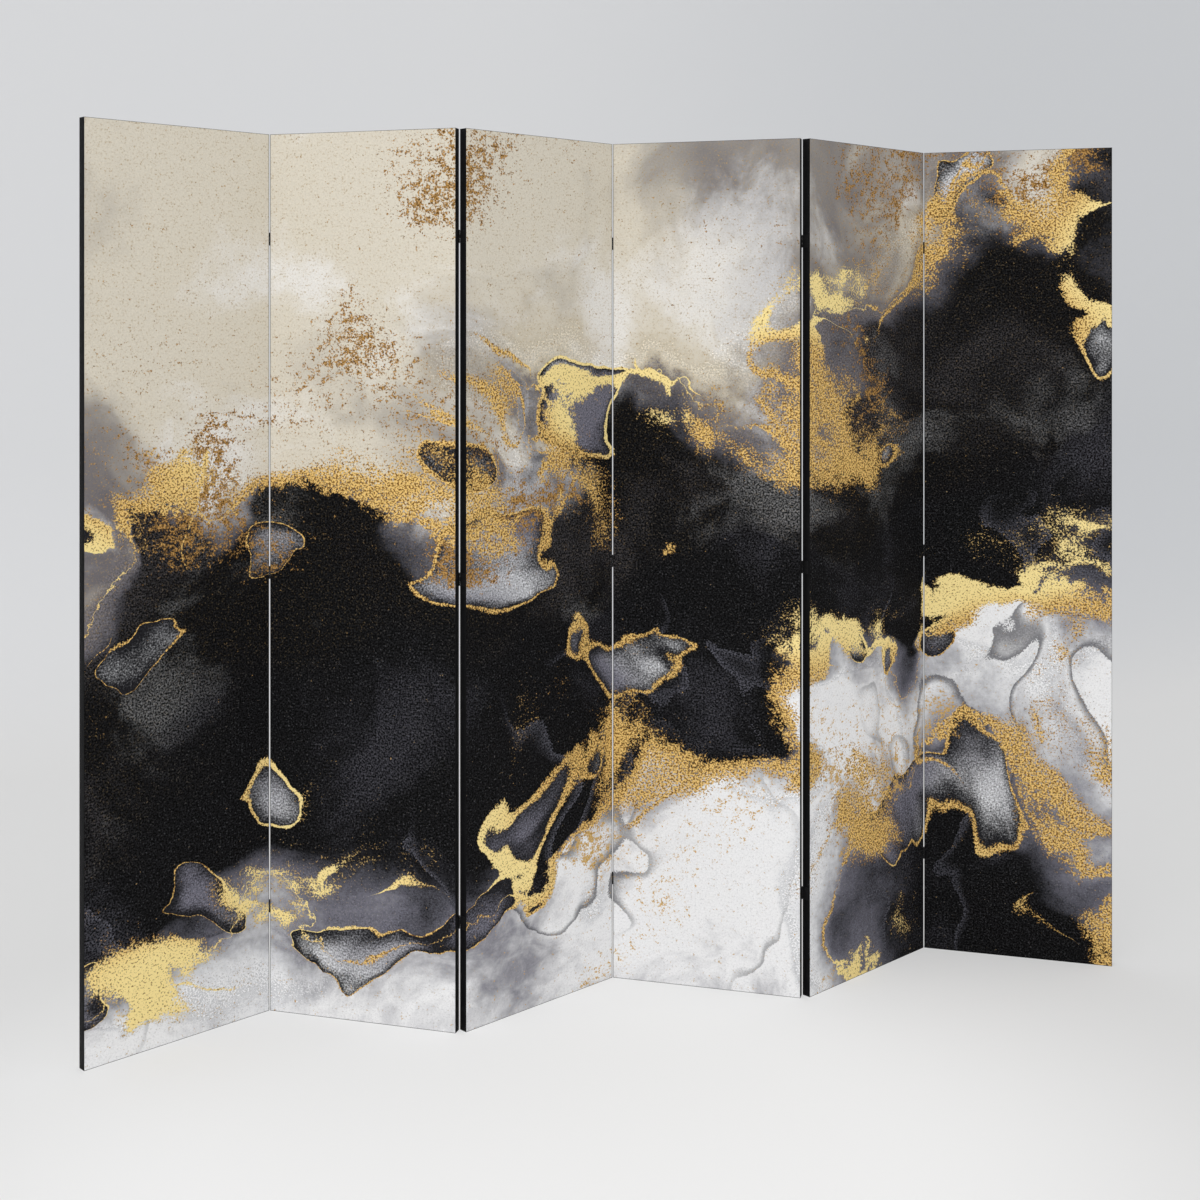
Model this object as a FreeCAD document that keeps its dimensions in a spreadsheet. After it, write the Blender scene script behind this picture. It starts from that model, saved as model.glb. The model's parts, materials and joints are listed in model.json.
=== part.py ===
import FreeCAD, Part
import Sketcher
import os

# A six-panel folding screen that stands in a zigzag on its own edges. Millimetres and degrees.
# Origin: on the floor, under the middle of the screen. X runs along the screen, Y to the back, Z up.
# Each panel is a timber frame with a canvas over each face and black tape round its four edges.
# Three small butt hinges join each panel to the next, on the front and on the back by turns.

PANELS = 6
RAILS_PER_PANEL = 4
HINGES_PER_JOINT = 3
SCREWS_PER_LEAF = 2

DRIVING_SIZES = {
    "panel_height": 1700,
    "panel_width": 384,
    "panel_thickness": 18,
    # turn of each panel from the line of the screen
    "fold_angle": 30,
    "tape_thickness": 0.4,
    "tape_joint": 0.05,
    "canvas_thickness": 0.6,
    # between the margins of the two canvases, where they meet half way across an edge
    "canvas_parting": 0.4,
    "stile_width": 30,
    "rail_height": 30,
    "tenon_length": 15,
    "tenon_thickness": 6,
    # rail left above and below its tenon
    "tenon_shoulder": 5,
    "tenon_clearance": 0.15,
    # middle of the lowest hinge above the floor, and of the highest below the top
    "hinge_inset": 203,
    "leaf_height": 25,
    # pin axis to the far edge of a leaf
    "leaf_reach": 14.5,
    "leaf_thickness": 0.5,
    "knuckle_gap": 0.3,
    # pin axis out from the face of the canvas
    "pin_offset": 0.4,
    "pin_radius": 0.4,
    "pin_clearance": 0.05,
    # screw centre from the middle line of the edge, towards the hinge's face
    "screw_offset": 1.8,
    "screw_radius": 1.1,
    "screw_length": 13,
    "screw_tip": 2.5,
    "screw_spacing": 13,
    "screw_clearance": 0.05,
}

# Sizes worked out from the driving ones, as expressions on their cells.
SKIN = "(sizes.tape_thickness + sizes.canvas_thickness)"
FRAME_DEPTH = "(sizes.panel_thickness - 2 * sizes.canvas_thickness)"
FRAME_HEIGHT = f"(sizes.panel_height - 2 * {SKIN})"
FRAME_WIDTH = f"(sizes.panel_width - 2 * {SKIN})"
RAIL_START = f"({SKIN} + sizes.stile_width)"
RAIL_LENGTH = f"({FRAME_WIDTH} - 2 * sizes.stile_width)"
RAIL_MIDDLE = f"({SKIN} + sizes.rail_height / 2)"
TENON_HEIGHT = "(sizes.rail_height - 2 * sizes.tenon_shoulder)"
CANVAS_DEPTH = "(sizes.panel_thickness - sizes.canvas_parting) / 2"
CANVAS_MIDDLE = "(sizes.panel_thickness + sizes.canvas_parting) / 4"
HINGE_SPAN = "(sizes.panel_height - 2 * sizes.hinge_inset)"
LEAF_BOTTOM = "(sizes.hinge_inset - sizes.leaf_height / 2)"
BARREL_RADIUS = "(sizes.pin_radius + sizes.pin_clearance + sizes.leaf_thickness)"
KNUCKLE = "((sizes.leaf_height - 2 * sizes.knuckle_gap) / 3)"
PIN_Y = "(sizes.panel_thickness / 2 + sizes.pin_offset)"
LOW_SCREW_Z = "(sizes.hinge_inset - sizes.screw_spacing / 2)"
SCREW_HEAD_RADIUS = "(sizes.screw_radius + sizes.leaf_thickness)"
SCREW_HOLE_RADIUS = "(sizes.screw_radius + sizes.screw_clearance)"

# Plan of the zigzag: step from one panel to the next, and from a pin to the end of its panel.
PANEL_STEP = (
    f"((sizes.panel_width + 2 * {BARREL_RADIUS}) * cos(sizes.fold_angle)"
    f" + 2 * {PIN_Y} * sin(sizes.fold_angle))"
)
PIN_TO_PANEL = f"({BARREL_RADIUS} * cos(sizes.fold_angle) + {PIN_Y} * sin(sizes.fold_angle))"

doc = FreeCAD.newDocument("folding_screen")
nodes = []


def make_sheet():
    """The spreadsheet of driving sizes: name, value and alias on one row each."""
    sheet = doc.addObject("Spreadsheet::Sheet", "sizes")
    for row, (alias, value) in enumerate(DRIVING_SIZES.items(), start=1):
        sheet.set(f"A{row}", alias)
        sheet.set(f"B{row}", str(value))
        sheet.setAlias(f"B{row}", alias)
    doc.recompute()


def bind(thing, **expressions):
    """Ties properties to expressions; a double underscore stands for the dot in a property's path."""
    for path, expression in expressions.items():
        thing.setExpression(path.replace("__", "."), expression)


def origin(body, role):
    """One of the body's own planes or axes."""
    return next(item for item in body.Origin.OriginFeatures if item.Role == role)


def new_body(label, panel, at_right=False):
    """A body in the frame of a panel's left edge, or of its right edge, turned half round.

    In either frame X runs from the panel's edge towards its middle and Y = 0 is half its thickness.
    """
    body = doc.addObject("PartDesign::Body", label)
    body.Label = label
    turn = 1 if panel % 2 else -1
    steps = panel - 1 - PANELS / 2
    end_x = f"{steps} * {PANEL_STEP} + {PIN_TO_PANEL}"
    end_y = f"-1 * {turn} * sizes.panel_width * sin(sizes.fold_angle) / 2"
    angle = f"{turn} * sizes.fold_angle"
    if at_right:
        end_x = f"{end_x} + sizes.panel_width * cos(sizes.fold_angle)"
        end_y = f"-1 * ({end_y})"
        angle = f"{angle} + 180"
    bind(body, Placement__Base__x=end_x, Placement__Base__y=end_y, Placement__Rotation__Angle=angle)
    nodes.append(body)
    return body


def new_sketch(body, role, at):
    """An empty sketch on one of the body's planes, moved by three expressions in its own axes."""
    sketch = body.newObject("Sketcher::SketchObject", "sketch")
    sketch.AttachmentSupport = [(origin(body, role), "")]
    sketch.MapMode = "FlatFace"
    bind(sketch, AttachmentOffset__Base__x=at[0], AttachmentOffset__Base__y=at[1],
         AttachmentOffset__Base__z=at[2])
    return sketch


def place_point(sketch, geometry, end, x, y):
    """Holds one point of a sketch at two expressions from the sketch's origin."""
    for kind, axis, expression in (("DistanceX", -2, x), ("DistanceY", -1, y)):
        if expression == "0":
            sketch.addConstraint(Sketcher.Constraint("PointOnObject", geometry, end, axis))
            continue
        start = sketch.evalExpression(expression)
        index = sketch.addConstraint(Sketcher.Constraint(kind, -1, 1, geometry, end, float(start)))
        sketch.setExpression(f"Constraints[{index}]", expression)


def outline(body, role, corners, at):
    """A closed outline of straight lines through corners that are pairs of expressions."""
    sketch = new_sketch(body, role, at)
    places = []
    for corner in corners:
        places.append(FreeCAD.Vector(*(float(sketch.evalExpression(value)) for value in corner)))
    for index, place in enumerate(places):
        sketch.addGeometry(Part.LineSegment(place, places[(index + 1) % len(places)]))
    for index, corner in enumerate(corners):
        before = (index - 1) % len(corners)
        sketch.addConstraint(Sketcher.Constraint("Coincident", before, 2, index, 1))
        place_point(sketch, index, 1, *corner)
    return sketch


def rectangle(body, role, width, height, at):
    """A rectangle with its centre at the place given by three expressions."""
    corners = [("0", "0"), (width, "0"), (width, height), ("0", height)]
    centre = (f"{at[0]} - {width} / 2", f"{at[1]} - {height} / 2", at[2])
    return outline(body, role, corners, centre)


def circles(body, role, radius, at, heights=("0",)):
    """Equal circles in a column above the place given by three expressions."""
    sketch = new_sketch(body, role, at)
    start = float(sketch.evalExpression(radius))
    for index, height in enumerate(heights):
        centre = FreeCAD.Vector(0, float(sketch.evalExpression(height)), 0)
        sketch.addGeometry(Part.Circle(centre, FreeCAD.Vector(0, 0, 1), start))
        place_point(sketch, index, 3, "0", height)
        size = sketch.addConstraint(Sketcher.Constraint("Radius", index, start))
        sketch.setExpression(f"Constraints[{size}]", radius)
    return sketch


def extrude(body, kind, sketch, length, reverse=False):
    """A Pad along the sketch's normal, or a Pocket against it; reverse swaps the direction."""
    feature = body.newObject(f"PartDesign::{kind}", kind.lower())
    feature.Profile = sketch
    feature.Reversed = reverse
    bind(feature, Length=length)
    return feature


def revolve(body, kind, sketch):
    """A full Revolution or Groove round the sketch's own X axis."""
    feature = body.newObject(f"PartDesign::{kind}", kind.lower())
    feature.Profile = sketch
    feature.ReferenceAxis = (sketch, ["H_Axis"])
    feature.Angle = 360
    return feature


def repeat_up(body, length, count, features=None):
    """Copies of some features, or of the whole body so far, spaced up the Z axis over a length."""
    so_far = body.Tip
    pattern = body.newObject("PartDesign::LinearPattern", "repeat")
    pattern.BaseFeature = so_far
    if features:
        pattern.Originals = features
    else:
        pattern.TransformMode = "Whole shape"
    pattern.Direction = (origin(body, "Z_Axis"), [""])
    bind(pattern, Length=length)
    pattern.Occurrences = count
    body.Tip = pattern
    return pattern


def side_of(panel):
    """Side of the hinge in the frame of either edge: +Y on odd panels, -Y on even ones."""
    return 1 if panel % 2 else -1


def hinged_edges(panel):
    """The edges of a panel that carry hinges: the two ends of the screen are bare."""
    edges = []
    if panel > 1:
        edges.append("left")
    if panel < PANELS:
        edges.append("right")
    return edges


def drill_screw_holes(body, side, depth, start="0", edge="left"):
    """All the screw holes in one edge of a panel, drilled inwards from a start below its surface."""
    from_right = edge == "right"
    edge_x = f"sizes.panel_width - {start}" if from_right else start
    hole_y = f"{-side if from_right else side} * sizes.screw_offset"
    sketch = circles(body, "YZ_Plane", SCREW_HOLE_RADIUS, (hole_y, LOW_SCREW_Z, edge_x),
                     ("0", "sizes.screw_spacing"))
    holes = extrude(body, "Pocket", sketch, depth, reverse=not from_right)
    repeat_up(body, HINGE_SPAN, HINGES_PER_JOINT, [holes])


def stile(panel, edge):
    """An upright of the frame, mortised for the rails and drilled for the hinge screws."""
    body = new_body(f"panel_{panel}_{edge}_stile", panel, edge == "right")
    centre = (f"{SKIN} + sizes.stile_width / 2", "0", SKIN)
    section = rectangle(body, "XY_Plane", "sizes.stile_width", FRAME_DEPTH, centre)
    extrude(body, "Pad", section, FRAME_HEIGHT)
    mouth = rectangle(
        body, "YZ_Plane",
        "(sizes.tenon_thickness + 2 * sizes.tenon_clearance)",
        f"({TENON_HEIGHT} + 2 * sizes.tenon_clearance)",
        ("0", RAIL_MIDDLE, RAIL_START),
    )
    mortise = extrude(body, "Pocket", mouth, "sizes.tenon_length + sizes.tenon_clearance")
    repeat_up(body, f"{FRAME_HEIGHT} - sizes.rail_height", RAILS_PER_PANEL, [mortise])
    if edge in hinged_edges(panel):
        depth = f"sizes.screw_length + sizes.screw_clearance - sizes.leaf_thickness - {SKIN}"
        drill_screw_holes(body, side_of(panel), depth, start=SKIN)


def rails(panel):
    """The level bars of the frame, with a tenon on each end."""
    body = new_body(f"panel_{panel}_rails", panel)
    section = rectangle(body, "YZ_Plane", FRAME_DEPTH, "sizes.rail_height", ("0", RAIL_MIDDLE, RAIL_START))
    extrude(body, "Pad", section, RAIL_LENGTH)
    tenon_start = f"{RAIL_START} - sizes.tenon_length"
    tenon = rectangle(body, "YZ_Plane", "sizes.tenon_thickness", TENON_HEIGHT,
                      ("0", RAIL_MIDDLE, tenon_start))
    extrude(body, "Pad", tenon, f"{RAIL_LENGTH} + 2 * sizes.tenon_length")
    repeat_up(body, f"{FRAME_HEIGHT} - sizes.rail_height", RAILS_PER_PANEL)


def canvas(panel, name, face):
    """A canvas stretched over one face, its margins turned over the edges of the frame."""
    body = new_body(f"panel_{panel}_{name}", panel)
    middle = "sizes.panel_width / 2"
    block = rectangle(body, "XY_Plane", "(sizes.panel_width - 2 * sizes.tape_thickness)", CANVAS_DEPTH,
                      (middle, f"{face} * {CANVAS_MIDDLE}", "sizes.tape_thickness"))
    extrude(body, "Pad", block, "sizes.panel_height - 2 * sizes.tape_thickness")
    hollow = rectangle(body, "XY_Plane", FRAME_WIDTH, f"({FRAME_DEPTH} / 2)",
                       (middle, f"{face} * {FRAME_DEPTH} / 4", SKIN))
    extrude(body, "Pocket", hollow, FRAME_HEIGHT, reverse=True)
    for edge in hinged_edges(panel):
        hinge_face = side_of(panel) if edge == "left" else -side_of(panel)
        if face == hinge_face:
            drill_screw_holes(body, side_of(panel), "sizes.canvas_thickness", "sizes.tape_thickness", edge)


def edge_tape(panel):
    """Black tape over the four edges, as deep as the panel: two long strips and two short ones between."""
    body = new_body(f"panel_{panel}_edge_tape", panel)
    uprights = ("sizes.tape_thickness / 2", "sizes.panel_width - sizes.tape_thickness / 2")
    for centre_x in uprights:
        strip = rectangle(body, "XY_Plane", "sizes.tape_thickness", "sizes.panel_thickness",
                          (centre_x, "0", "0"))
        extrude(body, "Pad", strip, "sizes.panel_height")
    strip_width = "(sizes.panel_width - 2 * sizes.tape_thickness - 2 * sizes.tape_joint)"
    for bottom in ("0", "sizes.panel_height - sizes.tape_thickness"):
        strip = rectangle(body, "XY_Plane", strip_width, "sizes.panel_thickness",
                          ("sizes.panel_width / 2", "0", bottom))
        extrude(body, "Pad", strip, "sizes.tape_thickness")
    for edge in hinged_edges(panel):
        drill_screw_holes(body, side_of(panel), "sizes.tape_thickness", edge=edge)


def screw_profile(body, side, grow, tail):
    """The half outline of a screw or of its countersink, from the outer face of the leaf inwards."""
    at = ("-1 * sizes.leaf_thickness", f"{side} * sizes.screw_offset", LOW_SCREW_Z)
    head = f"{SCREW_HEAD_RADIUS} + {grow}"
    neck = f"sizes.screw_radius + {grow}"
    cone = [("0", "0"), ("0", head), ("sizes.leaf_thickness", neck)]
    return outline(body, "XY_Plane", cone + tail, at)


def hinge_screws(panel):
    """The countersunk screws that hold the leaves of every hinge on one panel."""
    edges = hinged_edges(panel)
    body = new_body(f"panel_{panel}_hinge_screws", panel, edges[0] == "right")
    shank = [("sizes.screw_length - sizes.screw_tip", "sizes.screw_radius"), ("sizes.screw_length", "0")]
    revolve(body, "Revolution", screw_profile(body, side_of(panel), "0", shank))
    repeat_up(body, "sizes.screw_spacing", SCREWS_PER_LEAF)
    repeat_up(body, HINGE_SPAN, HINGES_PER_JOINT)
    if len(edges) > 1:
        turn_round_middle(body)


def turn_round_middle(body):
    """Repeats the whole body on the panel's other edge, half a turn round its middle line."""
    line = body.newObject("PartDesign::Line", "middle_line")
    bind(line, Placement__Base__x="sizes.panel_width / 2")
    so_far = body.Tip
    pattern = body.newObject("PartDesign::PolarPattern", "other_edge")
    pattern.BaseFeature = so_far
    pattern.TransformMode = "Whole shape"
    pattern.Axis = (line, [""])
    pattern.Angle = 360
    pattern.Occurrences = 2
    body.Tip = pattern


def notch(body, pin_place, bottom, height):
    """Clears a leaf round the pin over one stretch of its height, for a knuckle of the other leaf."""
    width = f"(2 * ({BARREL_RADIUS} + sizes.knuckle_gap))"
    square = rectangle(body, "XY_Plane", width, width, (*pin_place, bottom))
    extrude(body, "Pocket", square, height, reverse=True)


def leaves(joint, panel, edge):
    """The leaves of one joint on one panel: end knuckles on the left panel, middle ones on the right."""
    body = new_body(f"hinge_{joint}_{edge_name(joint, panel)}_leaves", panel, edge == "right")
    side = side_of(panel)
    pin_place = (f"-1 * {BARREL_RADIUS}", f"{side} * {PIN_Y}")
    plate_place = ("-1 * sizes.leaf_thickness / 2", f"{side} * ({PIN_Y} - sizes.leaf_reach / 2)", LEAF_BOTTOM)
    plate = rectangle(body, "XY_Plane", "sizes.leaf_thickness", "sizes.leaf_reach", plate_place)
    extrude(body, "Pad", plate, "sizes.leaf_height")
    barrel = circles(body, "XY_Plane", BARREL_RADIUS, (*pin_place, LEAF_BOTTOM))
    extrude(body, "Pad", barrel, "sizes.leaf_height")
    bore = circles(body, "XY_Plane", "(sizes.pin_radius + sizes.pin_clearance)", (*pin_place, LEAF_BOTTOM))
    extrude(body, "Pocket", bore, "sizes.leaf_height", reverse=True)
    if edge == "right":
        notch(body, pin_place, f"{LEAF_BOTTOM} + {KNUCKLE}", f"{KNUCKLE} + 2 * sizes.knuckle_gap")
    else:
        notch(body, pin_place, LEAF_BOTTOM, f"{KNUCKLE} + sizes.knuckle_gap")
        notch(body, pin_place, f"{LEAF_BOTTOM} + 2 * {KNUCKLE} + sizes.knuckle_gap",
              f"{KNUCKLE} + sizes.knuckle_gap")
    cone_base = [("sizes.leaf_thickness", "0")]
    countersink = revolve(body, "Groove", screw_profile(body, side, "sizes.screw_clearance", cone_base))
    repeat_up(body, "sizes.screw_spacing", SCREWS_PER_LEAF, [countersink])
    repeat_up(body, HINGE_SPAN, HINGES_PER_JOINT)


def edge_name(joint, panel):
    """Which side of the joint a panel lies on."""
    return "left" if panel == joint else "right"


def pins(joint):
    """The pins of one joint, each as long as its leaves are tall."""
    body = new_body(f"hinge_{joint}_pins", joint, at_right=True)
    place = (f"-1 * {BARREL_RADIUS}", f"{side_of(joint)} * {PIN_Y}", LEAF_BOTTOM)
    extrude(body, "Pad", circles(body, "XY_Plane", "sizes.pin_radius", place), "sizes.leaf_height")
    repeat_up(body, HINGE_SPAN, HINGES_PER_JOINT)


def make_panel(panel):
    """All the pieces of one panel."""
    stile(panel, "left")
    stile(panel, "right")
    rails(panel)
    canvas(panel, "front_canvas", -1)
    canvas(panel, "back_canvas", 1)
    edge_tape(panel)
    hinge_screws(panel)


def make_joint(joint):
    """The hinges between a panel and the next one to its right."""
    leaves(joint, joint, "right")
    leaves(joint, joint + 1, "left")
    pins(joint)


def check_model():
    """Stops if a feature failed, a cut removed nothing from its piece, or a shape is bad."""
    for item in doc.Objects:
        if {"Invalid", "Error"} & set(item.State):
            raise RuntimeError(f"{item.Label} failed: {item.State}")
    for body in nodes:
        if body.Shape.isNull() or not body.Shape.isValid():
            raise RuntimeError(f"{body.Label} has no valid shape")
        for cut in body.Group:
            if cut.TypeId not in ("PartDesign::Pocket", "PartDesign::Groove"):
                continue
            if cut.Shape.Volume >= cut.BaseFeature.Shape.Volume:
                raise RuntimeError(f"{body.Label}: {cut.Label} removed nothing")


def write_parts():
    """One STEP file for each piece, named by its label."""
    os.makedirs("parts", exist_ok=True)
    for body in nodes:
        body.Shape.exportStep(f"parts/{body.Label}.step")


make_sheet()
for panel_number in range(1, PANELS + 1):
    make_panel(panel_number)
for joint_number in range(1, PANELS):
    make_joint(joint_number)
doc.recompute()
check_model()
write_parts()
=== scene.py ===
import json
import math

import bmesh
import bpy
from mathutils import Matrix, Vector, noise

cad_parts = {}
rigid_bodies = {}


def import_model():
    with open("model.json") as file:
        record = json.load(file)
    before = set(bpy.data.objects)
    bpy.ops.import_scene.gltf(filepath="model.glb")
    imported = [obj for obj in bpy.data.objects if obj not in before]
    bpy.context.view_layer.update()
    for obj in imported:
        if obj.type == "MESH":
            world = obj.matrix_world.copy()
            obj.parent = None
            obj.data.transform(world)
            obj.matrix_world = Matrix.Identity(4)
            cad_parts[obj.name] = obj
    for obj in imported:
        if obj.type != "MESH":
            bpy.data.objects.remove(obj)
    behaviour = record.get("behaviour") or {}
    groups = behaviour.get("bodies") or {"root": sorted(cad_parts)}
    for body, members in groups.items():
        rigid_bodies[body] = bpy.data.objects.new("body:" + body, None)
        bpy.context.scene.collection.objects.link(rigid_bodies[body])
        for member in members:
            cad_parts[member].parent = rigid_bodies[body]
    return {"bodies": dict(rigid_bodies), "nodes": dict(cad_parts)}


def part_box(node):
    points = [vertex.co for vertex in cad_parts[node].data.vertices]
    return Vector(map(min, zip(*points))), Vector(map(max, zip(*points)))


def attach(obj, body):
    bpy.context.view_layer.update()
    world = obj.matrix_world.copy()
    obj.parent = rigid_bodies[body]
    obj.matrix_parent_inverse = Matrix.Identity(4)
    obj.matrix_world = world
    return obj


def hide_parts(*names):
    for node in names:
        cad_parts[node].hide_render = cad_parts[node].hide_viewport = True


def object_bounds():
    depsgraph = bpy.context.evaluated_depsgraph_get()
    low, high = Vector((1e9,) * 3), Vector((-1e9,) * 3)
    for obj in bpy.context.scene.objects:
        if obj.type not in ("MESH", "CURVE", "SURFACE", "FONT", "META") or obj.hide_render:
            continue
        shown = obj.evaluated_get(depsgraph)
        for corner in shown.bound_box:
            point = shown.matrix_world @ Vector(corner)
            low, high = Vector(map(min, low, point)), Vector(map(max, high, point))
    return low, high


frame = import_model()
cad_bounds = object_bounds()

# Metres, in the frame of the solids: X along the screen, Y to the back, Z up.

PANELS = len(frame["bodies"])

# Faces that meet at more than this show an edge.
SHARP_ANGLE = math.radians(40)

# A rail has faces at four heights: its own bottom and top, and its tenons' bottom and top.
RAIL_LEVELS = 4


# Places

def extent(node, turn):
    """Lowest and highest corner of a solid along the axes of a turned frame."""
    inverse = turn.inverted()
    points = [inverse @ vertex.co for vertex in frame["nodes"][node].data.vertices]
    return Vector(map(min, zip(*points))), Vector(map(max, zip(*points)))


def middle(node):
    """Centre of a solid's box."""
    low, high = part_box(node)
    return (low + high) / 2


class Panel:
    """A panel's own frame, read from its solids: X from its left edge, Y from mid-thickness, Z up."""

    def __init__(self, number):
        self.number = number
        self.body = f"panel_{number}"
        along = middle(self.node("right_stile")) - middle(self.node("left_stile"))
        self.turn = Matrix.Rotation(math.atan2(along.y, along.x), 4, "Z")
        low, high = extent(self.node("edge_tape"), self.turn)
        self.corner = Vector((low.x, (low.y + high.y) / 2, low.z))
        self.size = high - low
        self.place = self.turn @ Matrix.Translation(self.corner)

    def node(self, name):
        """Full name of one of the panel's solids."""
        return f"{self.body}_{name}"

    def span(self, name):
        """Lowest and highest corner of one of the panel's solids, in the panel's frame."""
        return extent(self.node(name), self.place)

    def bays(self):
        """Open heights between the rails: the top of the rail below and the bottom of the one above."""
        inverse = self.place.inverted()
        heights = (round((inverse @ v.co).z, 5) for v in frame["nodes"][self.node("rails")].data.vertices)
        levels = sorted(set(heights))
        tops = levels[RAIL_LEVELS - 1::RAIL_LEVELS]
        bottoms = levels[RAIL_LEVELS::RAIL_LEVELS]
        return list(zip(tops, bottoms))


def spaced(stops, step):
    """Places from the first stop to the last, through all of them and no further apart than a step."""
    places = [stops[0]]
    for low, high in zip(stops, stops[1:]):
        count = math.ceil((high - low) / step)
        places += [low + (high - low) * (index + 1) / count for index in range(count)]
    return places


def new_piece(name, mesh, material, panel):
    """A piece of the screen that moves with a panel, from a mesh in that panel's frame."""
    mesh.transform(panel.place)
    mesh.polygons.foreach_set("use_smooth", [True] * len(mesh.polygons))
    mesh.set_sharp_from_angle(angle=SHARP_ANGLE)
    mesh.materials.append(material)
    piece = bpy.data.objects.new(name, mesh)
    bpy.context.scene.collection.objects.link(piece)
    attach(piece, panel.body)
    return piece


def set_flat_places(mesh, places):
    """Where each point of a piece lies in the flat cloth, for its weave and its print."""
    attribute = mesh.attributes.new("flat_place", "FLOAT_VECTOR", "POINT")
    attribute.data.foreach_set("vector", [value for place in places for value in place])


# Cloth

# Canvas: the fold round the timber, the slack between the timbers and the mesh that carries them.
FOLD_RADIUS = 0.0009
FOLD_STEPS = 3
CREASE = 0.0012
SLACK = 0.0005
RIPPLE = 0.00012
RIPPLE_PITCH = 0.11
MESH_STEP = 0.014

# Edge tape: rounding of its long edges.
TAPE_ROUNDING = 0.00012


def sag(panel, x, z, stiles, bays):
    """How far the canvas sinks in at a place between the timbers."""
    for bottom, top in bays:
        if bottom < z < top and stiles[0] < x < stiles[1]:
            across = (x - stiles[0]) / (stiles[1] - stiles[0])
            up = (z - bottom) / (top - bottom)
            bowl = (4 * across * (1 - across)) * (4 * up * (1 - up))
            wave = noise.noise(Vector((x / RIPPLE_PITCH, z / RIPPLE_PITCH, panel.number)))
            return bowl * (SLACK + RIPPLE * wave)
    return 0.0


def rim(columns, rows):
    """Round the rim of a grid, in order: column, row, and the way out along X and Z."""
    last_column = len(columns) - 1
    last_row = len(rows) - 1
    places = [(column, 0) for column in range(last_column)]
    places += [(last_column, row) for row in range(last_row)]
    places += [(column, last_row) for column in range(last_column, 0, -1)]
    places += [(0, row) for row in range(last_row, 0, -1)]
    for column, row in places:
        out_x = (column == last_column) - (column == 0)
        out_z = (row == last_row) - (row == 0)
        yield column, row, out_x, out_z


class CanvasShape:
    """The mesh of one canvas as it grows, and the place of each of its points in the flat cloth.

    A face of -1 looks to the front and 1 to the back.
    """

    def __init__(self, panel, name, face):
        self.panel = panel
        self.face = face
        self.low, self.high = panel.span(name)
        self.outer_y = self.low.y if face < 0 else self.high.y
        self.stiles = (panel.span("left_stile")[1].x, panel.span("right_stile")[0].x)
        self.bays = panel.bays()
        self.columns = self.stops(self.low.x, self.high.x, self.stiles)
        self.rows = self.stops(self.low.z, self.high.z, [z for bay in self.bays for z in bay])
        self.points = []
        self.flat_places = []
        self.faces = []

    def stops(self, start, end, timbers):
        """Places of the mesh's lines across the flat of the face, closer together by the folds."""
        start += FOLD_RADIUS
        end -= FOLD_RADIUS
        return spaced([start, start + CREASE, *timbers, end - CREASE, end], MESH_STEP)

    def add_point(self, x, z, below, out=(0, 0), run=0.0):
        """A point at a depth below the face, and a run of cloth past the edge of its flat."""
        self.points.append((x, self.outer_y - self.face * below, z))
        across_print = (self.panel.number - 1) * self.panel.size.x + x
        self.flat_places.append((across_print + out[0] * run, z + out[1] * run, 0))
        return len(self.points) - 1

    def add_flat(self, below):
        """The flat of the face, which sinks between the timbers. Gives its rim."""
        def depth(x, z):
            return below + sag(self.panel, x, z, self.stiles, self.bays)

        grid = [[self.add_point(x, z, depth(x, z)) for z in self.rows] for x in self.columns]
        for left, right in zip(grid, grid[1:]):
            self.faces += zip(left, right, right[1:], left[1:])
        return [grid[column][row] for column, row, *_ in rim(self.columns, self.rows)]

    def add_ring(self, out, below, run):
        """A line all round, some way out past the flat."""
        return [
            self.add_point(self.columns[column] + out * out_x, self.rows[row] + out * out_z, below,
                           (out_x, out_z), run)
            for column, row, out_x, out_z in rim(self.columns, self.rows)
        ]

    def add_band(self, ring, after):
        """The faces between two rings."""
        for index in range(len(ring)):
            onward = (index + 1) % len(ring)
            self.faces.append((ring[index], ring[onward], after[onward], after[index]))


def section(radius, depth):
    """One side of the canvas from its fold to the end of its margin, as (way out, depth, run) steps."""
    for step in range(1, FOLD_STEPS + 1):
        angle = math.pi / 2 * step / FOLD_STEPS
        yield radius * math.sin(angle), FOLD_RADIUS - radius * math.cos(angle), FOLD_RADIUS * angle
    yield radius, depth, FOLD_RADIUS * (math.pi / 2 - 1) + depth


def canvas_mesh(panel, name, face):
    """A canvas with its face, its rounded folds and the margins turned over the frame, inside and out."""
    shape = CanvasShape(panel, name, face)
    thickness = panel.span("left_stile")[0].y - panel.span("front_canvas")[0].y
    depth = shape.high.y - shape.low.y
    rings = [shape.add_flat(0)]
    rings += [shape.add_ring(*step) for step in section(FOLD_RADIUS, depth)]
    rings += [shape.add_ring(*step) for step in reversed(list(section(FOLD_RADIUS - thickness, depth)))]
    rings.append(shape.add_flat(thickness))
    for ring, after in zip(rings, rings[1:]):
        shape.add_band(ring, after)

    mesh = bpy.data.meshes.new(name)
    mesh.from_pydata(shape.points, [], shape.faces)
    set_flat_places(mesh, shape.flat_places)
    face_outward(mesh)
    flat_size = (shape.high.x - shape.low.x + 2 * depth, shape.high.z - shape.low.z + 2 * depth)
    return mesh, flat_size


def face_outward(mesh):
    """Turns every face of a closed mesh outward."""
    shape = bmesh.new()
    shape.from_mesh(mesh)
    bmesh.ops.recalc_face_normals(shape, faces=shape.faces)
    shape.to_mesh(mesh)
    shape.free()


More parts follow.
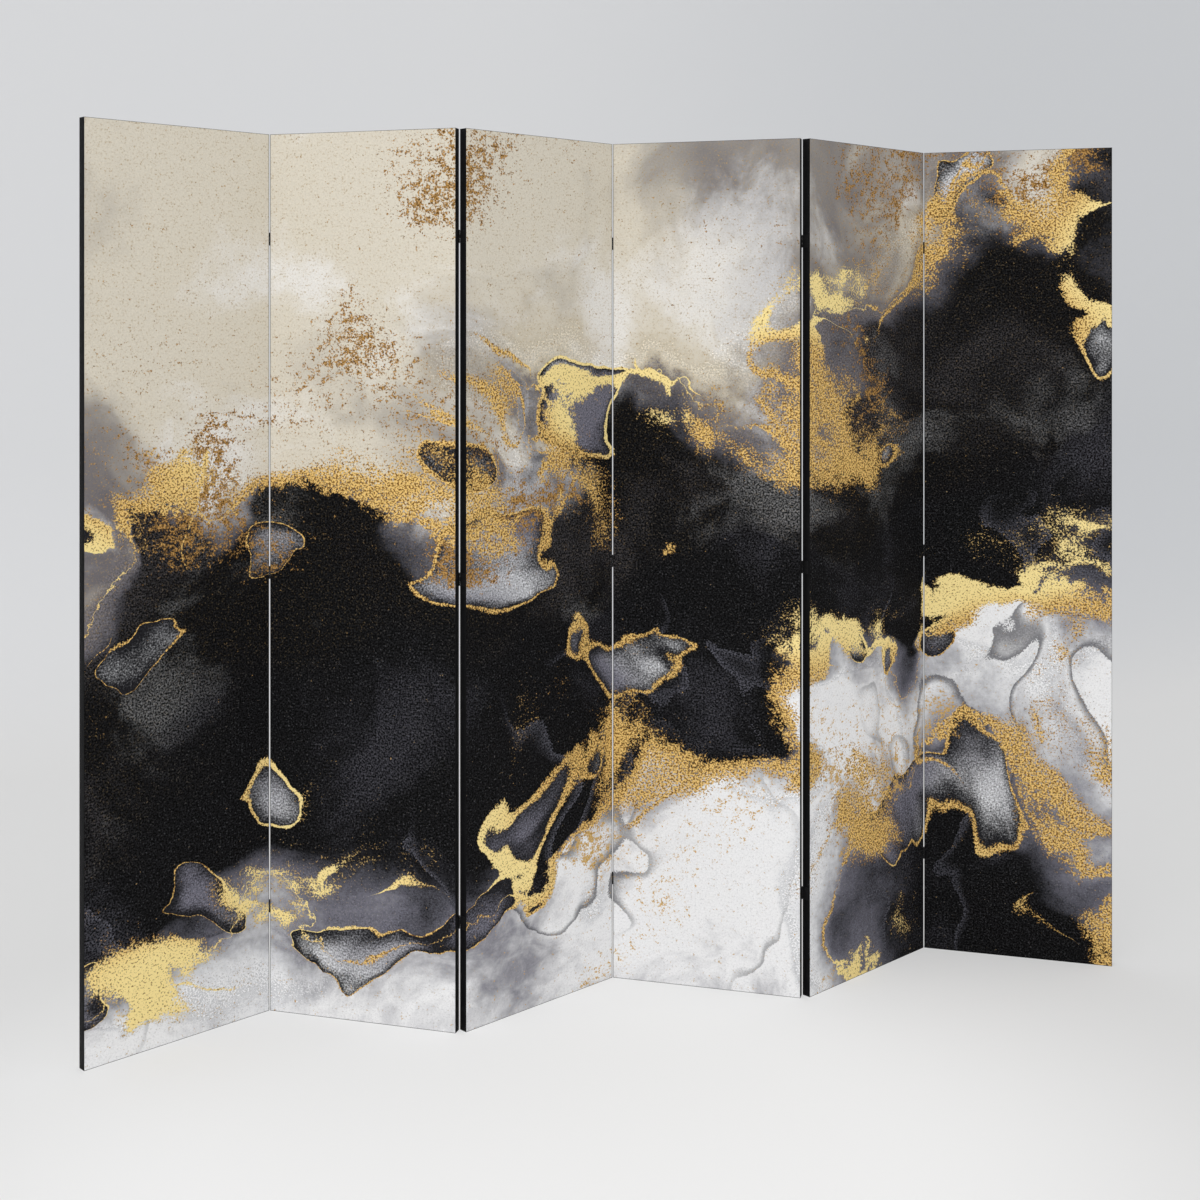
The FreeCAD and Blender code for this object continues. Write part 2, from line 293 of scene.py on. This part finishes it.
def make_canvas(panel, name, face, material):
    """One of a panel's two canvases, in the place of its solid."""
    mesh, flat_size = canvas_mesh(panel, name, face)
    piece = new_piece(f"{name}_{panel.number}", mesh, material, panel)
    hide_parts(panel.node(name))
    timbers = [panel.node(timber) for timber in ("left_stile", "right_stile", "rails")]
    return piece


def make_tape(panel, material):
    """The tape round a panel's edges: two long strips, with two short ones between them."""
    width, depth, height = panel.size
    half = depth / 2
    thin = panel.span("front_canvas")[0].x
    strips = [
        ((0, -half, 0), (thin, half, height)),
        ((width - thin, -half, 0), (width, half, height)),
        ((thin, -half, 0), (width - thin, half, thin)),
        ((thin, -half, height - thin), (width - thin, half, height)),
    ]
    shape = bmesh.new()
    for low, high in strips:
        add_strip(shape, Vector(low), Vector(high))
    mesh = bpy.data.meshes.new("edge_tape")
    shape.to_mesh(mesh)
    shape.free()
    flat_places = []
    for vertex in mesh.vertices:
        upright = not thin < vertex.co.x < width - thin
        flat_places.append((vertex.co.z if upright else vertex.co.x, vertex.co.y, 0))
    set_flat_places(mesh, flat_places)
    piece = new_piece(f"tape_{panel.number}", mesh, material, panel)
    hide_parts(panel.node("edge_tape"))


def add_strip(shape, low, high):
    """A straight strip between two corners, its edges rounded."""
    size = high - low
    place = Matrix.Translation((low + high) / 2) @ Matrix.Diagonal((*size, 1))
    made = bmesh.ops.create_cube(shape, size=1, matrix=place)
    edges = {edge for vertex in made["verts"] for edge in vertex.link_edges}
    bmesh.ops.bevel(shape, geom=list(edges), offset=TAPE_ROUNDING, segments=2, profile=0.5,
                    affect="EDGES")


# Fields of a material

def colour(red, green, blue):
    """A colour as it shows on a screen, 0 to 255, in the linear values that nodes take."""
    shares = [value / 255 for value in (red, green, blue)]
    return (*[s / 12.92 if s <= 0.04045 else ((s + 0.055) / 1.055) ** 2.4 for s in shares], 1)


class Field:
    """A number, place or colour at each point of a surface. Sums and products of numbers are nodes."""

    def __init__(self, tree, socket):
        self.tree = tree
        self.socket = socket

    def __add__(self, other):
        return compute("ADD", self, other)

    def __sub__(self, other):
        return compute("SUBTRACT", self, other)

    def __rsub__(self, other):
        return compute("SUBTRACT", other, self)

    def __mul__(self, other):
        return compute("MULTIPLY", self, other)

    def __truediv__(self, other):
        return compute("DIVIDE", self, other)

    def __abs__(self):
        return compute("ABSOLUTE", self)

    __radd__ = __add__
    __rmul__ = __mul__


def feed(socket, value):
    """Joins a field to a socket, or sets the socket to a plain value."""
    if isinstance(value, Field):
        value.tree.links.new(value.socket, socket)
    else:
        socket.default_value = value


def add_node(kind, values, inputs=None, **settings):
    """A node of the tree that the values belong to, with those values on its inputs, in order."""
    tree = next(value.tree for value in values if isinstance(value, Field))
    node = tree.nodes.new(kind)
    for name, setting in settings.items():
        setattr(node, name, setting)
    sockets = [node.inputs[key] for key in inputs] if inputs else node.inputs
    for socket, value in zip(sockets, values):
        feed(socket, value)
    return node


def compute(operation, *values):
    """A sum, product or other function of numbers."""
    node = add_node("ShaderNodeMath", values, operation=operation)
    return Field(node.id_data, node.outputs[0])


def move(operation, *values):
    """A sum, product or other function of places."""
    node = add_node("ShaderNodeVectorMath", values, operation=operation)
    output = "Value" if operation in ("DOT_PRODUCT", "DISTANCE") else "Vector"
    return Field(node.id_data, node.outputs[output])


def distance(place, point):
    """How far each place is from a point."""
    return move("DISTANCE", place, point)


def rise(value, low, high, start=0.0, end=1.0):
    """Goes smoothly from start to end as the value goes from low to high, and stays there."""
    node = add_node("ShaderNodeMapRange", [value, low, high, start, end],
                    interpolation_type="SMOOTHSTEP")
    return Field(node.id_data, node.outputs["Result"])


def mix(share, first, second):
    """From the first colour to the second as the share goes from 0 to 1."""
    node = add_node("ShaderNodeMix", [share, first, second], inputs=[0, 6, 7], data_type="RGBA")
    return Field(node.id_data, node.outputs[2])


def ramp(value, stops):
    """A colour for each value, through (value, colour) stops."""
    node = add_node("ShaderNodeValToRGB", [value])
    points = node.color_ramp.elements
    while len(points) < len(stops):
        points.new(0.5)
    for point, (position, shade) in zip(points, stops):
        point.position = position
        point.color = shade
    return Field(node.id_data, node.outputs["Color"])


def cloud(place, scale, detail=2.0, roughness=0.5, seed=0, output="Fac"):
    """Soft random values, about 0.5, in lumps of 1 / scale metres."""
    apart = 7.3
    moved = move("ADD", place, (0.0, 0.0, seed * apart))
    node = add_node("ShaderNodeTexNoise", [moved, scale, detail, roughness],
                    inputs=["Vector", "Scale", "Detail", "Roughness"])
    return Field(node.id_data, node.outputs[output])


def warp(place, scale, amount, detail=2.0, seed=0):
    """Places moved by a soft random step, so that what is drawn on them flows."""
    drift = cloud(place, scale, detail, seed=seed, output="Color")
    centred = move("SUBTRACT", drift, (0.5, 0.5, 0.5))
    step = move("MULTIPLY", centred, (amount, amount, 0.0))
    return move("ADD", place, step)


def parts_of(place):
    """The X, Y and Z of a place, as numbers."""
    node = add_node("ShaderNodeSeparateXYZ", [place])
    return [Field(node.id_data, output) for output in node.outputs]


def new_material(name, viewport_colour):
    """A new material, and its shader."""
    material = bpy.data.materials.new(name)
    material.use_nodes = True
    material.diffuse_color = viewport_colour
    return material, material.node_tree.nodes["Principled BSDF"]


def flat_place(material):
    """Where a point lies in the flat cloth."""
    node = material.node_tree.nodes.new("ShaderNodeAttribute")
    node.attribute_name = "flat_place"
    return Field(material.node_tree, node.outputs["Vector"])


def solid_place(material):
    """Where a point lies in the screen at rest."""
    node = material.node_tree.nodes.new("ShaderNodeTexCoord")
    return Field(material.node_tree, node.outputs["Object"])


def add_relief(shader, height, depth):
    """Small relief on a surface: a height from 0 to 1, and what 1 stands for in metres."""
    node = add_node("ShaderNodeBump", [height], inputs=["Height"])
    node.inputs["Distance"].default_value = depth
    node.inputs["Strength"].default_value = 1.0
    feed(shader.inputs["Normal"], Field(node.id_data, node.outputs["Normal"]))


# Threads of the cloths, from one to the next, and the slubs in them, in threads.
CANVAS_THREAD = 0.0006
TAPE_THREAD = 0.0005
SLUB_LENGTH = 40
SLUB_WIDTH = 3

# How high the relief of each surface stands.
PRINT_RELIEF = 0.00012
CANVAS_RELIEF = 0.00012
TAPE_RELIEF = 0.0001
WOOD_RELIEF = 0.0002
PAINT_RELIEF = 0.00004
WIRE_RELIEF = 0.00001


def weave(place, thread):
    """Height of a plain weave, about 0.5, with threads that differ a little in thickness."""
    across, up, _ = parts_of(place)
    crossing = compute("SINE", across * (math.pi / thread)) * compute("SINE", up * (math.pi / thread))
    long_threads = (1 / (thread * SLUB_LENGTH), 1 / (thread * SLUB_WIDTH))
    slub_across = cloud(move("MULTIPLY", place, (*long_threads, 1.0)), 1.0, seed=3)
    slub_up = cloud(move("MULTIPLY", place, (*reversed(long_threads), 1.0)), 1.0, seed=4)
    return crossing * 0.3 + 0.5 + (slub_across + slub_up - 1.0) * 0.6


# Print

WHITE = colour(238, 238, 239)
PALE = colour(202, 203, 206)
MIST = colour(166, 166, 171)
LAVENDER = colour(110, 109, 120)
SLATE = colour(70, 70, 77)
CHARCOAL = colour(34, 34, 37)
BLACK = colour(17, 17, 18)
TAUPE = colour(110, 106, 109)
CREAM = colour(214, 207, 192)
SAND = colour(197, 187, 167)
TAN = colour(170, 146, 104)
PALE_GOLD = colour(247, 225, 156)
GOLD = colour(234, 196, 120)
DEEP_GOLD = colour(116, 80, 34)
RUST = colour(92, 64, 28)
PALE_RUST = colour(186, 144, 84)

# Middle of the dark river: its height at the left edge and its climb, and half its width.
RIVER_LEFT = 0.46
RIVER_CLIMB = 0.32
RIVER_REACH = 0.40
# A second dark mass, in the white.
DARK_MASS_PLACE = (2.02, 0.10, 0.0)
DARK_MASS_REACH = 0.33
# Where the field of the pools passes this, a pool begins.
POOL_LEVEL = 0.548


def larger(first, second):
    """The larger of two numbers."""
    return compute("MAXIMUM", first, second)


def dried_edge(field, level, width, softness):
    """The line that ink leaves where it dries: sharp on one side, fading on the other."""
    beyond = field - level
    return rise(beyond, -width, 0.0) * rise(beyond, softness, 0.0)


def beside(line, reach):
    """How near a place is to a line, from 1 on it to 0 at the reach. The line is where a field is 0."""
    return rise(abs(line), reach, 0.0)


class Picture:
    """The printed picture: ink and gold that flow across all six panels, over places in the flat cloth."""

    def __init__(self, place):
        self.place = place
        self.flow = warp(warp(place, 1.3, 0.50, seed=1), 4.5, 0.13, seed=2)
        self.fluid = warp(self.flow, 16.0, 0.030, detail=3.0, seed=3)
        self.grain = cloud(place, 280.0, 1.5, 0.7, seed=5) - 0.5
        self.speck = cloud(place, 230.0, 3.0, 0.7, seed=6) - 0.5
        self.blots = cloud(place, 60.0, 3.0, 0.65, seed=25) - 0.5
        self.set_shores()
        self.set_pools()

    def set_shores(self):
        """The height above the river's middle, the way out from the dark, and the darkness itself."""
        climb = move("DOT_PRODUCT", self.fluid, (-RIVER_CLIMB, 1.0, 0.0))
        lumps = cloud(self.fluid, 2.1, 3.5, 0.58, seed=7) - 0.5
        self.height = climb - RIVER_LEFT + lumps * 1.1
        from_river = abs(self.height) - RIVER_REACH
        from_mass = distance(self.fluid, DARK_MASS_PLACE) + lumps * 0.8 - DARK_MASS_REACH
        self.out = compute("MINIMUM", from_river, from_mass)
        softness = rise(cloud(self.flow, 2.6, 1.0, seed=20), 0.42, 0.58, 0.05, 0.46)
        self.dark = 0.5 - self.out / softness + self.grain * 0.6 + self.blots * 0.25

    def set_pools(self):
        """The field of the pools, which are fewer in some parts and far from the shores."""
        few = rise(cloud(self.flow, 1.6, 1.0, 0.5, seed=10), 0.54, 0.46, 0.0, 0.2)
        few = few + rise(self.out, 0.02, 0.18, 0.0, 0.20) + rise(self.out, -0.14, -0.30, 0.0, 0.10)
        self.pools = cloud(self.fluid, 4.4, 2.0, 0.4, seed=9) - few

    def grained(self, ink, coarse):
        """Ink that lies unevenly on the threads, more so the coarser it is."""
        return move("MULTIPLY", ink, larger(1.0 + self.grain * coarse, 0.1))

    def wash(self):
        """Cream above the river and white below it, darkening to black."""
        below = ramp(self.dark, [
            (0.00, WHITE), (0.12, PALE), (0.20, WHITE), (0.32, PALE), (0.44, MIST), (0.54, LAVENDER),
            (0.71, SLATE), (0.90, BLACK),
        ])
        above = ramp(self.dark, [
            (0.00, CREAM), (0.15, SAND), (0.25, CREAM), (0.38, SAND), (0.50, TAUPE), (0.71, SLATE),
            (0.90, BLACK),
        ])
        smoke = cloud(self.fluid, 3.2, 6.0, 0.62, seed=8)
        mist = cloud(self.fluid, 1.5, 5.0, 0.6, seed=23)
        clear = rise(self.dark, 0.85, 0.45, 0.14, 1.0)
        thinning = rise(self.height, 1.0, 0.45, 0.35, 1.0)
        below = mix(rise(smoke, 0.47, 0.68) * 0.9 * clear, below, LAVENDER)
        above = mix(rise(mist, 0.44, 0.60) * thinning * clear, above, TAUPE)
        above = mix(rise(smoke, 0.50, 0.66) * 0.55 * clear, above, WHITE)
        freckles = rise(self.speck + self.blots * 0.3, 0.05, 0.14)
        below = mix(freckles * 0.35 * clear, below, MIST)
        above = mix(freckles * 0.55 * clear, above, TAN)
        return mix(rise(self.height, 0.06, -0.06), above, below)

    def add_stains(self, ink):
        """Fine grey lines in the white."""
        rings = cloud(self.fluid, 3.0, 2.0, 0.5, seed=15)
        patches = cloud(self.flow, 1.7, 2.0, seed=21)
        stained = rise(patches, 0.46, 0.60) * rise(self.height, -0.10, -0.22)
        line = dried_edge(rings + self.grain * 0.02, 0.54, 0.003, 0.035)
        return mix(line * stained * 0.8, ink, SLATE)

    def add_pools(self, ink):
        """Pools with crisp edges, in and beside the dark."""
        veil = cloud(self.fluid, 9.0, 4.0, 0.6, seed=16) - 0.5
        core = mix(rise(cloud(self.flow, 3.0, 1.0, seed=17), 0.42, 0.62), LAVENDER, PALE)
        level = self.pools + self.grain * 0.12 + veil * 0.20
        shade = self.grained(mix(rise(level, POOL_LEVEL, POOL_LEVEL + 0.13), CHARCOAL, core), 3.0)
        return mix(rise(self.pools, POOL_LEVEL - 0.002, POOL_LEVEL + 0.002), ink, shade)

    def gold_density(self):
        """Gold thick on some shores and round some pools, thin in threads and dust."""
        rich = cloud(self.flow, 2.4, 2.5, 0.55, seed=18)
        on_shore = beside(self.out + self.blots * 0.06, rise(rich, 0.42, 0.60, 0.004, 0.13))
        from_pool = self.pools - POOL_LEVEL + self.blots * 0.012
        round_pool = beside(from_pool, rise(rich, 0.34, 0.62, 0.004, 0.050))
        wander = cloud(self.fluid, 2.6, 2.5, 0.5, seed=11) - 0.5
        thickness = rise(cloud(self.flow, 3.4, 2.0, seed=12), 0.47, 0.68, 0.0, 0.045)
        thread = beside(wander, thickness) * rise(abs(self.out), 0.24, 0.06)
        dust = cloud(self.fluid, 2.7, 4.0, 0.55, seed=13)
        dusted = rise(dust, 0.46, 0.66) * rise(abs(self.out), 0.30, 0.04)
        return larger(larger(on_shore, round_pool), larger(thread, dusted * 1.3))

    def flecks(self):
        """Flecks in the cream and the white, thick along broad arcs."""
        arcs = beside(cloud(self.fluid, 1.3, 2.0, 0.5, seed=19) - 0.5, 0.09)
        sown = arcs * rise(cloud(self.flow, 3.0, 2.0, seed=22), 0.35, 0.62)
        in_cream = (sown * 0.20 + 0.05) * rise(self.height, 0.14, 0.3)
        in_white = (sown * 0.20 + 0.06) * rise(self.height, -0.10, -0.30) * rise(self.out, -0.04, 0.04)
        return rise(self.speck * 0.7 + self.blots * 0.6 + in_cream + in_white, 0.20, 0.23)

    def colour_and_gilding(self):
        """The finished picture, and how much of each place is gold."""
        coarse = rise(self.dark, 0.0, 0.6, 0.35, 3.6) + rise(self.dark, 0.6, 0.9, 0.0, 7.0)
        ink = self.grained(self.add_stains(self.wash()), coarse)
        ink = self.add_pools(ink)

        # Where the gold lies smooth and pale.
        leaf = rise(cloud(self.flow, 1.9, 1.0, seed=26), 0.49, 0.59)
        density = self.gold_density() * (1.0 + leaf * 0.6)
        gold = rise(density + self.speck * 2.8 + self.blots, 0.68, 0.78)
        glint = cloud(self.place, 260.0, 2.0, 0.6, seed=14)
        bright = mix(leaf, GOLD, PALE_GOLD)
        gold_shade = mix(rise(glint + leaf * 0.09, 0.41, 0.55), DEEP_GOLD, bright)
        rust = mix(rise(glint, 0.38, 0.60), RUST, PALE_RUST)
        gold_shade = mix(rise(density, 0.9, 0.35) * 0.8, gold_shade, rust)

        flecks = self.flecks()
        fleck_shade = mix(rise(self.height, 0.1, -0.1) * 0.5, rust, GOLD)
        shade = mix(flecks, ink, fleck_shade)
        return mix(gold, shade, gold_shade), larger(gold, flecks)


def print_material():
    """Matt canvas with the picture printed on it."""
    material, shader = new_material("printed_canvas", PALE)
    place = flat_place(material)
    shade, gilding = Picture(place).colour_and_gilding()
    feed(shader.inputs["Base Color"], shade)
    feed(shader.inputs["Roughness"], 0.85 - gilding * 0.3)
    shader.inputs["Specular IOR Level"].default_value = 0.065
    add_relief(shader, weave(place, CANVAS_THREAD), PRINT_RELIEF)
    return material


# Plain materials

def plain_canvas_material():
    """Unprinted cotton canvas, off-white, with slubs in its threads."""
    material, shader = new_material("plain_canvas", CREAM)
    place = flat_place(material)
    threads = weave(place, CANVAS_THREAD)
    patches = cloud(place, 6.0, 4.0, 0.6, seed=8)
    shade = mix(rise(threads, 0.2, 0.8), colour(211, 205, 193), colour(226, 222, 211))
    shade = mix(rise(patches, 0.3, 0.7, 0.0, 0.25), shade, colour(218, 210, 194))
    feed(shader.inputs["Base Color"], shade)
    shader.inputs["Roughness"].default_value = 0.9
    shader.inputs["Specular IOR Level"].default_value = 0.2
    add_relief(shader, threads, CANVAS_RELIEF)
    return material


def tape_material():
    """Black woven tape, its edges rubbed a little."""
    material, shader = new_material("edge_tape", BLACK)
    place = flat_place(material)
    threads = weave(place, TAPE_THREAD)
    rubbed = rise(cloud(place, 60.0, 4.0, 0.7, seed=9), 0.5, 0.75)
    shade = mix(rise(threads, 0.2, 0.8), colour(8, 8, 9), colour(18, 18, 20))
    shade = mix(rubbed * 0.35, shade, colour(34, 34, 36))
    feed(shader.inputs["Base Color"], shade)
    feed(shader.inputs["Roughness"], rise(threads, 0.2, 0.8, 0.75, 0.6))
    shader.inputs["Specular IOR Level"].default_value = 0.12
    add_relief(shader, threads, TAPE_RELIEF)
    return material


def wood_material(name, turn, length_axis):
    """Planed pine, its grain along one axis of a turned frame."""
    material, shader = new_material(name, colour(206, 172, 120))
    place = solid_place(material)
    axes = [turn @ Vector(axis) for axis in ((1, 0, 0), (0, 1, 0), (0, 0, 1))]
    scales = [1.0, 1.0, 1.0]
    scales[length_axis] = 0.06
    stretched = [move("DOT_PRODUCT", place, tuple(axis)) * scale for axis, scale in zip(axes, scales)]
    node = add_node("ShaderNodeCombineXYZ", stretched)
    along_grain = Field(node.id_data, node.outputs["Vector"])
    rings = cloud(along_grain, 110.0, 4.0, 0.6, seed=10)
    fibres = cloud(along_grain, 900.0, 2.0, 0.6, seed=11)
    grain = rise(compute("SINE", rings * 40.0), -1.0, 1.0)
    shade = mix(grain, colour(222, 190, 140), colour(188, 146, 94))
    shade = mix(fibres * 0.35, shade, colour(160, 120, 74))
    feed(shader.inputs["Base Color"], shade)
    feed(shader.inputs["Roughness"], rise(fibres, 0.3, 0.7, 0.55, 0.75))
    add_relief(shader, fibres, WOOD_RELIEF)
    return material


def painted_metal_material(name, wear):
    """Black paint on thin steel, worn to grey in places."""
    material, shader = new_material(name, colour(30, 30, 30))
    place = solid_place(material)
    peel = cloud(place, 900.0, 2.0, 0.5, seed=12)
    scuffs = rise(cloud(place, 320.0, 5.0, 0.7, seed=13), 0.58, 0.72) * wear
    shade = mix(peel, colour(14, 14, 15), colour(26, 26, 27))
    feed(shader.inputs["Base Color"], mix(scuffs, shade, colour(84, 84, 86)))
    feed(shader.inputs["Roughness"], rise(peel, 0.3, 0.7, 0.45, 0.58) + scuffs * 0.15)
    shader.inputs["Specular IOR Level"].default_value = 0.25
    add_relief(shader, peel, PAINT_RELIEF)
    return material


def pin_material():
    """Drawn steel wire, with fine lines along it."""
    material, shader = new_material("hinge_pin", colour(120, 120, 122))
    place = solid_place(material)
    lines = cloud(move("MULTIPLY", place, (1.0, 1.0, 0.04)), 4000.0, 2.0, 0.6, seed=14)
    feed(shader.inputs["Base Color"], mix(lines, colour(110, 110, 112), colour(170, 170, 172)))
    feed(shader.inputs["Roughness"], rise(lines, 0.3, 0.7, 0.28, 0.45))
    shader.inputs["Metallic"].default_value = 1.0
    add_relief(shader, lines, WIRE_RELIEF)
    return material


def dress(node, material):
    """Gives a solid its material."""
    mesh = frame["nodes"][node].data
    mesh.materials.clear()
    mesh.materials.append(material)


# Screen

def make_screen():
    """All the cloth, and the materials of the timber and the hinges."""
    printed = print_material()
    plain = plain_canvas_material()
    tape = tape_material()
    leaf = painted_metal_material("hinge_leaf", 0.6)
    screw = painted_metal_material("hinge_screw", 1.0)
    pin = pin_material()
    stile_wood = wood_material("stile_wood", Matrix.Identity(3), 2)
    for number in range(1, PANELS + 1):
        panel = Panel(number)
        rail_wood = wood_material(f"rail_wood_{number}", panel.turn.to_3x3(), 0)
        canvases = [
            make_canvas(panel, "front_canvas", -1, printed),
            make_canvas(panel, "back_canvas", 1, plain),
        ]
        make_tape(panel, tape)
        dress(panel.node("left_stile"), stile_wood)
        dress(panel.node("right_stile"), stile_wood)
        dress(panel.node("rails"), rail_wood)
        dress(panel.node("hinge_screws"), screw)
    for joint in range(1, PANELS):
        dress(f"hinge_{joint}_left_leaves", leaf)
        dress(f"hinge_{joint}_right_leaves", leaf)
        dress(f"hinge_{joint}_pins", pin)


# Room

FLOOR_REACH = 40.0
# The wall curves up from the floor behind the screen.
WALL_START = 2.0
WALL_RADIUS = 0.9
WALL_HEIGHT = 7.0
WALL_HALF_WIDTH = 9.0
WALL_STEPS = 24

# The floor's palest paint is a painted pool of light round the foot of the screen.
FLOOR_PAINTED_LIGHT = colour(247, 247, 247)
FLOOR_GREY = colour(225, 225, 225)
WALL_GREY = colour(225, 226, 228)
# The wall's darker paint to the right is painted shade.
WALL_PAINTED_SHADE = colour(212, 214, 217)
# The centre of the pool of light painted on the floor, and how far from it the painted light fades to the
# grey.
PAINTED_LIGHT_SPOT = (-0.28, -0.6, 0.0)
PAINTED_LIGHT_FADE = (0.5, 1.4)
# How far along X painted shade turns the wall darker.
PAINTED_SHADE_REACH = (0.0, 2.4)
# The share of the paint that the camera sees with no shadow on it, and how bright it shows.
PLAIN_SHARE = 0.6
PLAIN_LEVEL = 0.9


def add_for_camera(material, share, shader):
    """Lets the camera see a share of another shader in place of what a material shows."""
    tree = material.node_tree
    ray = tree.nodes.new("ShaderNodeLightPath")
    choice = tree.nodes.new("ShaderNodeMixShader")
    surface = tree.nodes["Material Output"].inputs["Surface"]
    shown = surface.links[0].from_socket
    feed(choice.inputs[0], Field(tree, ray.outputs["Is Camera Ray"]) * share)
    tree.links.new(shown, choice.inputs[1])
    tree.links.new(shader.outputs[0], choice.inputs[2])
    tree.links.new(choice.outputs[0], surface)


def soften_shadows(material, shade):
    """Lets the camera see a share of the paint with no shadow on it."""
    plain = material.node_tree.nodes.new("ShaderNodeEmission")
    feed(plain.inputs["Color"], shade)
    plain.inputs["Strength"].default_value = PLAIN_LEVEL
    add_for_camera(material, PLAIN_SHARE, plain)
    material.cycles.emission_sampling = "NONE"


def see_through_from_behind(material):
    """Lets the camera look through the back of a wall."""
    tree = material.node_tree
    geometry = tree.nodes.new("ShaderNodeNewGeometry")
    clear = tree.nodes.new("ShaderNodeBsdfTransparent")
    add_for_camera(material, Field(tree, geometry.outputs["Backfacing"]), clear)


def stage_material(name):
    """Matt paint of the floor and the wall behind, with a pool of light painted round the foot of the
    screen and painted shade darkening the wall to the right.
    """
    material, shader = new_material(name, FLOOR_PAINTED_LIGHT)
    place = solid_place(material)
    across, back, _ = parts_of(place)
    # Painted shade: the wall's paint turns darker towards the right.
    wall = mix(rise(across, *PAINTED_SHADE_REACH), WALL_GREY, WALL_PAINTED_SHADE)
    grey = mix(rise(back, WALL_START, WALL_START + WALL_RADIUS), FLOOR_GREY, wall)
    # Painted pool of light: paler paint round a spot by the foot of the screen, fading to the grey.
    shade = mix(rise(distance(place, PAINTED_LIGHT_SPOT), *PAINTED_LIGHT_FADE), FLOOR_PAINTED_LIGHT, grey)
    feed(shader.inputs["Base Color"], shade)
    shader.inputs["Roughness"].default_value = 1.0
    shader.inputs["Specular IOR Level"].default_value = 0.0
    soften_shadows(material, shade)
    return material


def make_stage_piece(name, points, faces, material):
    """A piece of the room."""
    mesh = bpy.data.meshes.new(name)
    mesh.from_pydata(points, [], faces)
    mesh.polygons.foreach_set("use_smooth", [True] * len(mesh.polygons))
    mesh.materials.append(material)
    piece = bpy.data.objects.new(name, mesh)
    bpy.context.scene.collection.objects.link(piece)
    return piece


def make_stage():
    """A pale floor that curves up into a wall behind the screen."""
    corners = [(-FLOOR_REACH, -FLOOR_REACH), (FLOOR_REACH, -FLOOR_REACH), (FLOOR_REACH, FLOOR_REACH),
               (-FLOOR_REACH, FLOOR_REACH)]
    floor_level = cad_bounds[0].z
    floor_points = [(x, y, floor_level) for x, y in corners]
    make_stage_piece("floor", floor_points, [(0, 1, 2, 3)], stage_material("floor"))

    profile = []
    for step in range(WALL_STEPS + 1):
        angle = math.pi / 2 * step / WALL_STEPS
        profile.append((WALL_START + WALL_RADIUS * math.sin(angle), WALL_RADIUS * (1 - math.cos(angle))))
    profile.append((profile[-1][0], WALL_HEIGHT))
    wall_points = [(side * WALL_HALF_WIDTH, y, floor_level + z) for y, z in profile for side in (-1, 1)]
    wall_faces = [(2 * i, 2 * i + 1, 2 * i + 3, 2 * i + 2) for i in range(len(profile) - 1)]
    wall_paint = stage_material("wall")
    see_through_from_behind(wall_paint)
    make_stage_piece("wall", wall_points, wall_faces, wall_paint)


# Light and camera

KEY_PLACE = (-3.4, -4.6, 3.2)
KEY_TARGET = (0.0, 0.0, 0.8)
KEY_SIZE = 3.0
KEY_POWER = 98.0
# Strength of the light from all round, at the horizon and from above, and as the camera sees it.
SKY_LOW = 0.50
SKY_HIGH = 1.2
SKY_SHOWN = 0.68

# The camera stands level and is fitted to the corners of the six panels.
CAMERA_PLACE = (-0.8436, -3.2057, 1.3131)
CAMERA_TURN = math.radians(13.93)
CAMERA_LENS_MM = 50
CAMERA_SENSOR_MM = 36
CAMERA_DROP = -0.2218


def make_light():
    """A large soft lamp to the front left, and even light from all round."""
    lamp = bpy.data.lights.new("key", "AREA")
    lamp.shape = "SQUARE"
    lamp.size = KEY_SIZE
    lamp.energy = KEY_POWER
    key = bpy.data.objects.new("key", lamp)
    key.location = KEY_PLACE
    key.rotation_euler = (Vector(KEY_TARGET) - Vector(KEY_PLACE)).to_track_quat("-Z", "Y").to_euler()
    bpy.context.scene.collection.objects.link(key)

    world = bpy.data.worlds.new("studio")
    world.use_nodes = True
    tree = world.node_tree
    direction = Field(tree, tree.nodes.new("ShaderNodeTexCoord").outputs["Generated"])
    seen = Field(tree, tree.nodes.new("ShaderNodeLightPath").outputs["Is Camera Ray"])
    upward = parts_of(direction)[2]
    light = rise(upward, 0.0, 1.0, SKY_LOW, SKY_HIGH)
    background = tree.nodes["Background"]
    background.inputs["Color"].default_value = (1, 1, 1, 1)
    feed(background.inputs["Strength"], light * (1.0 - seen) + seen * SKY_SHOWN)
    bpy.context.scene.world = world


def make_camera():
    """The photograph's point of view: level, turned to the right, with the picture shifted down."""
    lens = bpy.data.cameras.new("camera")
    lens.lens = CAMERA_LENS_MM
    lens.sensor_width = CAMERA_SENSOR_MM
    lens.shift_y = CAMERA_DROP
    camera = bpy.data.objects.new("camera", lens)
    camera.location = CAMERA_PLACE
    camera.rotation_euler = (math.pi / 2, 0, -CAMERA_TURN)
    bpy.context.scene.collection.objects.link(camera)
    bpy.context.scene.camera = camera


make_camera()
make_screen()
make_stage()
make_light()
bpy.context.scene.view_settings.view_transform = "Standard"
